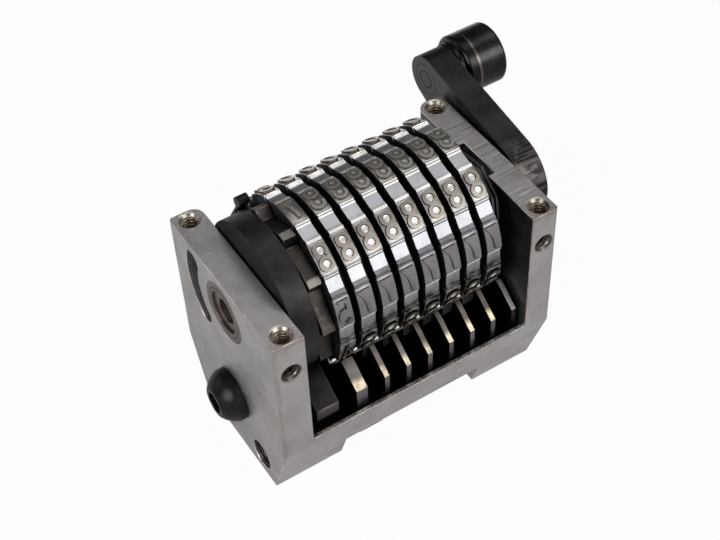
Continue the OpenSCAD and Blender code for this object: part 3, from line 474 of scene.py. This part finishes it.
# painted light: a lit brown copy for the end pawl's lower front and its broken edges
BLOCK_LIT_BROWN = worked_steel("block_lit_brown", (0.09, 0.078, 0.074), (0.17, 0.15, 0.145),
                           (0.42, 0.58), (1, 1, 1), 1200, 0.12)
BROWN = worked_steel("brown_steel", (0.2, 0.165, 0.155), (0.33, 0.28, 0.265), (0.34, 0.5),
                     (1, 1, 1), 1200, 0.15, ((0.5, 0.43, 0.4), 0.62, 0.85), bush_marks)
RATCHET_BROWN = worked_steel("ratchet_brown_steel", (0.036, 0.031, 0.028), (0.085, 0.075, 0.068),
                             (0.34, 0.52), (1, 1, 1), 1200, 0.15,
                             ((0.16, 0.14, 0.12), 0.6, 0.85))
# the ratchet's tooth tips and broken edges: partly wear, partly a painted highlight
RATCHET_TIP_WEAR_AND_SHEEN = worked_steel("ratchet_tip_wear_and_sheen", (0.1, 0.09, 0.082), (0.26, 0.24, 0.215),
                           (0.4, 0.55), (1, 1, 1), 1200, 0.15)
AXLE_END = worked_steel("axle_end_steel", (0.26, 0.215, 0.2), (0.44, 0.38, 0.355),
                        (0.36, 0.55), (1, 1, 1), 1300, 0.15)
DARK = worked_steel("dark_steel", (0.012, 0.011, 0.011), (0.028, 0.026, 0.026), (0.32, 0.5),
                    (1, 1, 1), 1200, 0.15)
# painted light: a lighter copy of the pawl steel for the upper edges, with real stains
PAWL_LIT_EDGE = worked_steel("pawl_lit_edge", (0.1, 0.088, 0.08), (0.19, 0.168, 0.155), (0.3, 0.45),
                         (1, 1, 1), 1500, 0.12, ((0.16, 0.13, 0.1), 0.6, 0.78), pawl_edge_highlight)
# painted light: a grey copy of the pawl steel for the upright fronts
PAWL_LIT_GREY = worked_steel("pawl_lit_grey", (0.21, 0.195, 0.2), (0.34, 0.32, 0.33),
                          (0.36, 0.5), (1, 1, 1), 1500, 0.12)
THREAD_BRASS = worked_steel("thread_bright", (0.3, 0.24, 0.17), (0.62, 0.54, 0.42), (0.22, 0.34),
                            (1, 1, 1), 1500, 0.08)
# painted shade: a dark copy of the thread steel for the front and side holes and the front countersinks
THREAD_SHADE = worked_steel("thread_shade", (0.06, 0.05, 0.045), (0.14, 0.12, 0.11), (0.3, 0.45),
                           (1, 1, 1), 1500, 0.08)
SPRING = worked_steel("spring_steel", (0.16, 0.16, 0.17), (0.3, 0.3, 0.31), (0.3, 0.45),
                      (1, 1, 1), 1500, 0.1)

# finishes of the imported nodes

SLOT_FINISH = {"body_steel": BODY_STEEL, "wheel_steel": LAND_STEEL, "black_oxide": BLACK,
               "brown_steel": BROWN, "dark_steel": DARK, "pawl_steel": DARK,
               "spring_steel": SPRING}
NODE_FINISH = {"swing_plate_left": PLATE_BLACK, "swing_plate_right": PLATE_BLACK,
               "lever_arm": LEVER_BLACK, "roller_stud": STUD_END, "cam_roller": ROLLER_BLACK,
               "axle": AXLE_END}

for subpart in frame["record"]["subparts"]:
    name = subpart["node"]
    mats = nodes[name].data.materials
    mats.clear()
    mats.append(NODE_FINISH.get(name, SLOT_FINISH[subpart["material_slot"]]))

# new pieces


def new_piece(name, bm, body, mats):
    bmesh.ops.recalc_face_normals(bm, faces=bm.faces)
    data = bpy.data.meshes.new(name)
    bm.to_mesh(data)
    bm.free()
    for m in mats:
        data.materials.append(m)
    piece = bpy.data.objects.new(name, data)
    bpy.context.scene.collection.objects.link(piece)
    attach(piece, body)
    return piece


def rim_point(x, turn, r):
    """A point on a wheel: turn is the angle from the top toward the front."""
    return Vector((x, AXLE_Y - r * math.sin(turn), AXLE_Z + r * math.cos(turn))) * MM


def slab(bm, outline, x0, x1, rim_mat):
    """A slice of a wheel: its outline of (turn, radius) points, drawn out along the axle."""
    ring = [bm.verts.new(rim_point(x0, turn, r)) for turn, r in outline]
    drawn = bmesh.ops.extrude_face_region(bm, geom=[bm.faces.new(ring)])
    moved = [v for v in drawn["geom"] if isinstance(v, bmesh.types.BMVert)]
    bmesh.ops.translate(bm, verts=moved, vec=((x1 - x0) * MM, 0, 0))
    faces = {f for v in ring + moved for f in v.link_faces}
    bm.normal_update()
    for f in faces:
        f.material_index = SIDE if abs(f.normal.x) > 0.9 else rim_mat
    return faces


# finishes of a wheel, in the order of its materials
LAND, SHOULDER, PAD, FACE, WALL_SHADE, BOWL, SIDE = range(7)
WHEEL_FINISHES = (LAND_STEEL, SHOULDER_STEEL, PAD_STEEL, DIGIT_STEEL, DIGIT_WALL_SHADE, BOWL_HIGHLIGHT,
                  GAP_SHADE)

# one tenth of the rim from pad to pad: degrees from the pad's middle, and height over the land
RIM_STEPS = ((-9.9, 0.5), (9.9, 0.5), (10.0, 0.44), (10.6, 0.4), (11.3, 0.26), (11.4, 0.14),
             (11.8, 0.14), (12.0, 0.18), (12.9, 0.0), (21.4, 0.0), (21.5, 0.2), (22.7, 0.12),
             (23.1, 0.1), (23.3, 0.4), (24.6, 0.28), (26.0, 0.16))
LAND_FROM = 12.95
LAND_TO = 21.35
# the stepped rim stands back from the pads' sides
RIM_BACK_LEFT = 0.28
RIM_BACK_RIGHT = 0.04
PAD_ROOT = LAND_R - 0.6
PAD_STEPS = 8
PAD_EDGE = 0.09
PAD_CORNER = 0.6

# digit strokes: centre lines in a box, x to the right, y up, in millimetres
HALF_W = 0.98
HALF_H = 2.22
RING = 1.06
RING_Y = 1.245
STROKE = 0.3
FLARE = 0.06
SEAT = 0.05
BOWL_R = RING - STROKE
# the cup inside a ring: its radius, depth and height over the pad, then (inward, down) steps
CUP_R = BOWL_R - 0.09
CUP_DEPTH = 0.3
CUP_LIFT = 0.1
CUP_STEPS = ((0.07, -0.04), (0.12, -0.04), (0.14, -0.015))


def arc(cx, cy, rx, ry, start, stop, count=20):
    angles = [math.radians(start + (stop - start) * i / count) for i in range(count + 1)]
    return [(cx + rx * math.cos(a), cy + ry * math.sin(a)) for a in angles]


def ring_at(cy):
    return arc(0, cy, RING, RING, 0, 360, 32)


# each digit: its (centre line, closed) strokes
GLYPHS = {
    0: [(arc(0, 0, HALF_W, HALF_H, 0, 360, 40), True)],
    1: [([(0.1, -HALF_H), (0.1, HALF_H), (-0.6, HALF_H - 0.75)], False)],
    2: [(arc(0, 1.2, HALF_W, 1.02, 170, -28, 18) + [(-HALF_W, -HALF_H), (HALF_W, -HALF_H)],
         False)],
    3: [(arc(0, 1.18, 0.92, 1.04, 150, -82, 18) + arc(0, -1.08, HALF_W, 1.14, 80, -150, 18),
         False)],
    4: [([(0.45, -HALF_H), (0.45, HALF_H), (-HALF_W, -0.75), (HALF_W, -0.75)], False)],
    5: [([(HALF_W - 0.1, HALF_H), (-0.75, HALF_H), (-0.8, 0.25)]
         + arc(0, -0.85, HALF_W, 1.37, 125, -150, 20), False)],
    6: [(ring_at(-RING_Y), True), (arc(0, RING_Y, RING, RING, 236, -22, 26), False)],
    7: [([(-HALF_W, HALF_H), (HALF_W, HALF_H)] + arc(1.6, -2.22, 1.85, 4.6, 116, 180, 14), False)],
    8: [(ring_at(RING_Y), True), (ring_at(-RING_Y), True)],
    9: [(ring_at(RING_Y), True), (arc(0, -RING_Y, RING, RING, 56, -202, 26), False)],
}
# hollows inside the strokes: middle height and how much the hollow is drawn out in y
HOLLOWS = {0: [(0, 2.6)], 6: [(-RING_Y, 1), (RING_Y, 1)], 8: [(-RING_Y, 1), (RING_Y, 1)],
           9: [(-RING_Y, 1), (RING_Y, 1)]}


def beside(points, closed, side):
    """The line moved sideways, with its corners kept sharp."""
    out = []
    n = len(points)
    for i, (x, y) in enumerate(points):
        before = points[(i - 1) % n] if closed or i else points[i]
        after = points[(i + 1) % n] if closed or i < n - 1 else points[i]
        a = Vector((x - before[0], y - before[1]))
        b = Vector((after[0] - x, after[1] - y))
        a = a.normalized() if a.length > 1e-9 else b.normalized()
        b = b.normalized() if b.length > 1e-9 else a
        way = (a + b).normalized() if (a + b).length > 1e-6 else a
        normal = Vector((-way.y, way.x))
        stretch = min(1 / max(normal.dot(Vector((-a.y, a.x))), 0.4), 1.6)
        out.append((x + normal.x * side * stretch, y + normal.y * side * stretch))
    return out


def stroke(bm, points, closed, bend):
    """A raised stroke with slightly flared walls in painted shade, seated in the pad."""
    if closed:
        points = points[:-1]
    n = len(points)
    rows = []
    for side, h in ((-STROKE - FLARE, -SEAT), (-STROKE, DIGIT_H), (STROKE, DIGIT_H),
                    (STROKE + FLARE, -SEAT)):
        rows.append([bm.verts.new(bend(x, y, h)) for x, y in beside(points, closed, side)])
    for a, b, mat in ((0, 1, WALL_SHADE), (1, 2, FACE), (2, 3, WALL_SHADE), (3, 0, WALL_SHADE)):
        for i in range(n if closed else n - 1):
            j = (i + 1) % n
            face = bm.faces.new((rows[a][i], rows[a][j], rows[b][j], rows[b][i]))
            face.material_index = mat
    if not closed:
        for i in (0, n - 1):
            bm.faces.new([row[i] for row in rows]).material_index = WALL_SHADE


def hollow(bm, cy, drawn, bend):
    """The shallow dished floor inside a digit, behind a dark groove along the stroke; its near-white
    tone is a painted highlight.
    """
    made = bmesh.ops.create_cone(bm, cap_ends=True, segments=20, radius1=CUP_R, radius2=CUP_R,
                                 depth=CUP_DEPTH)
    verts = made["verts"]
    faces = {f for v in verts for f in v.link_faces}
    top = max(faces, key=lambda f: f.calc_center_median().z)
    for thickness, depth in CUP_STEPS:
        done = bmesh.ops.inset_individual(bm, faces=[top], thickness=thickness, depth=depth)
        faces.update(done["faces"])
    floor = {v for f in faces for v in f.verts}
    for f in faces:
        f.material_index = BOWL
        f.smooth = True
    for v in floor:
        v.co = bend(v.co.x, cy + v.co.y * drawn, v.co.z + CUP_LIFT)


def number_wheel(k):
    low, high = box_mm(f"number_wheel_{k}")
    x0, x1 = low[0], high[0]
    mid = (x0 + x1) / 2
    bm = bmesh.new()
    rim = [(ROW_TURN + i * STEP + math.radians(deg), LAND_R + up)
           for i in range(DIGITS) for deg, up in RIM_STEPS]
    for face in slab(bm, rim, x0 + RIM_BACK_LEFT, x1 - RIM_BACK_RIGHT, SHOULDER):
        centre = face.calc_center_median() / MM
        turn = math.degrees(math.atan2(AXLE_Y - centre.y, centre.z - AXLE_Z) - ROW_TURN) % 36
        if face.material_index == SHOULDER and LAND_FROM < turn < LAND_TO:
            face.material_index = LAND
    slab(bm, [(i * STEP / 4, HUB_R) for i in range(DIGITS * 4)], x0, x1, SIDE)
    half = PAD_HALF / PLATE_R
    first = 6 if k == 1 else 8
    for i in range(DIGITS):
        turn = ROW_TURN + i * STEP
        crown = [(turn - half + 2 * half * s / PAD_STEPS, PLATE_R) for s in range(PAD_STEPS + 1)]
        pad = slab(bm, crown + [(turn + half, PAD_ROOT), (turn - half, PAD_ROOT)], x0, x1, PAD)
        for f in pad:
            f.smooth = f.material_index == PAD
        edges = {e for f in pad for e in f.edges}
        sharp = [e for e in edges if e.calc_face_angle(0) > PAD_CORNER]
        bmesh.ops.bevel(bm, geom=sharp, offset=PAD_EDGE * MM, offset_type="OFFSET", segments=2,
                        profile=0.5, affect="EDGES", material=-1)

        def bend(x, y, h, turn=turn):
            # digits are cut in reverse, upright with their heads toward the back
            return rim_point(mid - x, turn - y / WHEEL_R, PLATE_R + h)

        digit = (first - i) % DIGITS
        for points, closed in GLYPHS[digit]:
            stroke(bm, points, closed, bend)
        for cy, drawn in HOLLOWS.get(digit, ()):
            hollow(bm, cy, drawn, bend)
    piece = new_piece(f"wheel_{k}_rim", bm, f"wheel_{k}", WHEEL_FINISHES)
    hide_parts(f"number_wheel_{k}")


for k in range(1, WHEELS + 1):
    number_wheel(k)


def machined_copy(name, body, finishes, edge, pick=None, edge_finish=-1, segments=2,
                  clamp=True):
    """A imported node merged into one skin, with broken edges and a finish for each face.

    pick gives a face's place among the finishes, and edge_finish that of the broken edges, where
    -1 takes the finish beside them. The body's edges are too fine to clamp.
    """
    bm = bmesh.new()
    bm.from_mesh(nodes[name].data)
    bmesh.ops.remove_doubles(bm, verts=bm.verts, dist=1e-7)
    bmesh.ops.dissolve_limit(bm, angle_limit=math.radians(0.5), verts=bm.verts, edges=bm.edges)
    bm.normal_update()
    for f in bm.faces:
        f.material_index = pick(f) if pick else 0
        f.smooth = True
    for e in bm.edges:
        e.smooth = e.calc_face_angle(0) < SHARP
    piece = new_piece(f"{name}_look", bm, body, finishes)
    broken = piece.modifiers.new("edges", "BEVEL")
    broken.width = edge * MM
    broken.segments = segments
    broken.limit_method = "ANGLE"
    broken.angle_limit = SHARP
    broken.use_clamp_overlap = clamp
    broken.material = edge_finish
    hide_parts(name)


def pawl_finish(face):
    """Black sides, a lighter upper edge in front of the eye and a grey upright front; the two lighter
    tones are painted light.
    """
    centre = face.calc_center_median()
    if abs(face.normal.x) > 0.3 or centre.y > -0.0085:
        return 0
    if face.normal.z > 0.25:
        return 1
    return 2 if face.normal.y < -0.5 else 0


def ratchet_finish(face):
    """Dark brown flanks; the narrow lands on the tooth tips are bright, partly from wear and partly a
    painted highlight.
    """
    centre = face.calc_center_median() / MM
    r = math.hypot(centre.y - AXLE_Y, centre.z - AXLE_Z)
    return 1 if abs(face.normal.x) < 0.3 and r > RATCHET_TIP_R - 0.12 else 0


def body_finish(face):
    """The countersinks of the tapped holes: brown in the cheek tops, darkened with painted shade in the
    fronts.
    """
    centre = face.calc_center_median() / MM
    near = any(math.hypot(centre.x - hx, centre.y - hy) < HOLE_NEAR
               for hx in HOLE_XS for hy in HOLE_YS)
    top = near and centre.z > CHEEK_TOP - 1 and 0.3 < face.normal.z < 0.9
    front = centre.z > CHEEK_TOP - 10 and centre.y < body_low[1] + 1 and -0.9 < face.normal.y < -0.3
    if front:
        return 3
    return 2 if top else 0


def block_finish(face):
    """The thick end pawl is black above, with a brown lower front that is painted light."""
    return 1 if face.normal.y < -0.5 and face.normal.z < 0.3 else 0


for k in range(1, WHEELS + 1):
    # the lighter tones of the pawls are painted light; the last pawl has the grey on its upper edge and
    # a black front
    worn = (DARK, PAWL_LIT_EDGE, PAWL_LIT_GREY) if k < WHEELS else (DARK, PAWL_LIT_GREY, DARK)
    machined_copy(f"detent_{k}", f"detent_{k}", worn, 0.06, pawl_finish)
machined_copy("unit_ratchet", "wheel_1", (RATCHET_BROWN, RATCHET_TIP_WEAR_AND_SHEEN), 0.12,
              ratchet_finish, edge_finish=1)
machined_copy("unit_detent", "end_detent", (DARK, BLOCK_LIT_BROWN), 0.2,
              block_finish, edge_finish=1)
# the body's broken edges take the bright edge tone, partly a painted highlight
machined_copy("body", "frame", (BODY_STEEL, WORN_EDGE_AND_SHEEN, SINK_STEEL, THREAD_SHADE), 0.14,
              body_finish, edge_finish=1, clamp=False)
machined_copy("left_bush", "frame", (BROWN,), 0.1)
machined_copy("pawl_bolt", "frame", (BLACK,), 0.15)
machined_copy("channel_key", "frame", (DARK,), 0.12)
# the axle's broken edges take the painted shade of the gap against the bush
machined_copy("axle", "lever", (AXLE_END, GAP_SHADE), 0.3, edge_finish=1)
machined_copy("lever_arm", "lever", (LEVER_BLACK,), 0.22, segments=3)
machined_copy("swing_plate_left", "lever", (PLATE_BLACK,), 0.2, segments=3)
machined_copy("swing_plate_right", "lever", (PLATE_BLACK,), 0.2, segments=3)
machined_copy("drive_pawl", "drive_pawl", (DARK,), 0.15)
machined_copy("cam_roller", "roller", (ROLLER_BLACK,), 0.2, segments=3)
machined_copy("roller_stud", "lever", (STUD_END, DARK), 0.2, edge_finish=1)

# threads in the tapped holes

PITCH = 0.7
AROUND = 28
# a ridge's foot is sunk in the wall, and takes this share of the pitch each way
RIDGE = 0.22
RIDGE_FOOT = 0.05
RIDGE_SHARE = 0.42


def thread(name, mouth, way, hole, mat, height=RIDGE):
    """A helical ridge that stands inward from the wall of a hole of this radius and depth."""
    radius, depth = hole
    bm = bmesh.new()
    profile = ((radius + RIDGE_FOOT, RIDGE_SHARE), (radius - height, 0),
               (radius + RIDGE_FOOT, -RIDGE_SHARE))
    corners = [bm.verts.new((r * MM, 0, along * PITCH * MM)) for r, along in profile]
    start = bm.faces.new(corners)
    turns = depth / PITCH
    spun = bmesh.ops.spin(bm, geom=list(start.edges), cent=(0, 0, 0), axis=(0, 0, 1),
                          dvec=(0, 0, -PITCH / AROUND * MM), angle=turns * 2 * math.pi,
                          steps=int(turns * AROUND), use_merge=False)
    last = [e for e in spun["geom_last"] if isinstance(e, bmesh.types.BMEdge)]
    bmesh.ops.contextual_create(bm, geom=last)
    for f in bm.faces:
        f.smooth = len(f.verts) == 4
    aim = Vector((0, 0, 1)).rotation_difference(Vector(way)).to_matrix().to_4x4()
    bm.transform(Matrix.Translation(Vector(mouth) * MM) @ aim)
    new_piece(name, bm, "frame", (mat,))


for i, hx in enumerate(HOLE_XS):
    for j, hy in enumerate(HOLE_YS):
        thread(f"top_thread_{i}_{j}", (hx, hy, CHEEK_TOP - TOP_THREAD_START), (0, 0, 1),
               SMALL_HOLE, THREAD_BRASS)
    # the front threads take painted shade
    thread(f"front_thread_{i}",
           (hx, body_low[1] + FRONT_THREAD_START, CHEEK_TOP - FRONT_HOLE_DROP), (0, -1, 0),
           SMALL_HOLE, THREAD_SHADE)
# the side thread takes the same painted shade
thread("side_thread", (body_low[0] + SIDE_THREAD_START, SIDE_HOLE_Y, SIDE_HOLE_Z), (-1, 0, 0),
       SIDE_HOLE, THREAD_SHADE, 0.3)

# camera

# the photograph's viewpoint in metres, and the ways right and down in its picture
CAMERA_AT = Vector((-0.09156, -0.15251, 0.22508))
RIGHT = Vector((0.84134498, -0.53954361, -0.03211411))
DOWN = Vector((-0.41745966, -0.61093361, -0.67267195))
LENS = 73.03

camera_data = bpy.data.cameras.new("camera")
camera_data.sensor_width = 36
camera_data.lens = LENS
camera_data.clip_start = 0.01
camera_data.dof.use_dof = False
camera = bpy.data.objects.new("camera", camera_data)
bpy.context.scene.collection.objects.link(camera)
aim = Matrix((RIGHT, -DOWN, DOWN.cross(RIGHT))).transposed().to_4x4()
camera.matrix_world = Matrix.Translation(CAMERA_AT) @ aim
bpy.context.scene.camera = camera

# studio light


OBJECT_MIDDLE = Vector((0, 0, 0.025))


def softbox(name, at, size, power):
    """A soft lamp that looks at the middle of the object."""
    data = bpy.data.lights.new(name, "AREA")
    data.shape = "RECTANGLE"
    data.size, data.size_y = size
    data.energy = power
    light = bpy.data.objects.new(name, data)
    light.location = at
    light.rotation_euler = (OBJECT_MIDDLE - Vector(at)).to_track_quat("-Z", "Y").to_euler()
    bpy.context.scene.collection.objects.link(light)


softbox("front_box", (0.29, -0.64, 0.46), (0.5, 0.36), 2.0)
softbox("left_box", (-0.6, -0.25, 0.4), (0.4, 0.4), 2.3)
softbox("top_box", (0.18, 0.12, 0.72), (0.5, 0.4), 0.95)
softbox("edge_box", (-0.5, 0.42, 0.3), (0.3, 0.3), 0.35)


def ray_share(tree, shares):
    """How far this is the white the camera sees: a share for each kind of ray."""
    path = tree.nodes.new("ShaderNodeLightPath")
    total = None
    for kind, share in shares.items():
        part = tree.nodes.new("ShaderNodeMath")
        part.operation = "MULTIPLY"
        tree.links.new(path.outputs[kind], part.inputs[0])
        if hasattr(share, "is_linked"):
            tree.links.new(share, part.inputs[1])
        else:
            part.inputs[1].default_value = share
        if total is None:
            total = part.outputs[0]
            continue
        added = tree.nodes.new("ShaderNodeMath")
        added.use_clamp = True
        tree.links.new(total, added.inputs[0])
        tree.links.new(part.outputs[0], added.inputs[1])
        total = added.outputs[0]
    return total


# the way from the object to the white backdrop that its metal mirrors
BACKDROP_WAY = Vector((0.34, -0.86, 0.38))


def studio_world():
    """White to the camera; metal sees the white backdrop in front and the dark room behind."""
    world = bpy.data.worlds.new("world")
    world.use_nodes = True
    bpy.context.scene.world = world
    tree = world.node_tree
    tree.nodes.clear()
    out = tree.nodes.new("ShaderNodeOutputWorld")
    around = tree.nodes.new("ShaderNodeBackground")
    around.inputs[0].default_value = (0.8, 0.8, 0.82, 1)
    around.inputs[1].default_value = 0.16
    white = tree.nodes.new("ShaderNodeBackground")
    white.inputs[0].default_value = (1, 1, 1, 1)
    white.inputs[1].default_value = 1
    way = tree.nodes.new("ShaderNodeTexCoord")
    front = tree.nodes.new("ShaderNodeVectorMath")
    front.operation = "DOT_PRODUCT"
    front.inputs[1].default_value = BACKDROP_WAY.normalized()
    tree.links.new(way.outputs["Generated"], front.inputs[0])
    glow = ramp(tree, front.outputs["Value"], [(0.2, 0.0), (0.65, 0.12), (0.86, 0.45), (1, 0.7)])
    pick = tree.nodes.new("ShaderNodeMixShader")
    share = ray_share(tree, {"Is Camera Ray": 1.0, "Is Glossy Ray": glow,
                             "Is Transmission Ray": glow})
    tree.links.new(share, pick.inputs[0])
    tree.links.new(around.outputs[0], pick.inputs[1])
    tree.links.new(white.outputs[0], pick.inputs[2])
    tree.links.new(pick.outputs[0], out.inputs[0])


FLOOR_HALF = 1.5


def pale_floor():
    """A plain pale floor that keeps a faint shadow; it shines whiter behind the object."""
    mat = bpy.data.materials.new("floor")
    mat.use_nodes = True
    tree = mat.node_tree
    tree.nodes.clear()
    out = tree.nodes.new("ShaderNodeOutputMaterial")
    white = tree.nodes.new("ShaderNodeEmission")
    white.inputs[0].default_value = (1, 1, 1, 1)
    matt = tree.nodes.new("ShaderNodeBsdfDiffuse")
    matt.inputs[0].default_value = (0.72, 0.72, 0.72, 1)
    pick = tree.nodes.new("ShaderNodeMixShader")
    behind = ramp(tree, span(tree, axes(tree)[1], 50, 110), [(0, 0.15), (1, 0.85)])
    share = ray_share(tree, {"Is Camera Ray": 0.97, "Is Glossy Ray": behind,
                             "Is Transmission Ray": behind})
    tree.links.new(share, pick.inputs[0])
    tree.links.new(matt.outputs[0], pick.inputs[1])
    tree.links.new(white.outputs[0], pick.inputs[2])
    tree.links.new(pick.outputs[0], out.inputs[0])
    bm = bmesh.new()
    bmesh.ops.create_grid(bm, x_segments=1, y_segments=1, size=FLOOR_HALF)
    data = bpy.data.meshes.new("floor")
    bm.to_mesh(data)
    bm.free()
    data.materials.append(mat)
    floor = bpy.data.objects.new("floor", data)
    bpy.context.scene.collection.objects.link(floor)


studio_world()
pale_floor()
bpy.context.scene.view_settings.view_transform = "Standard"
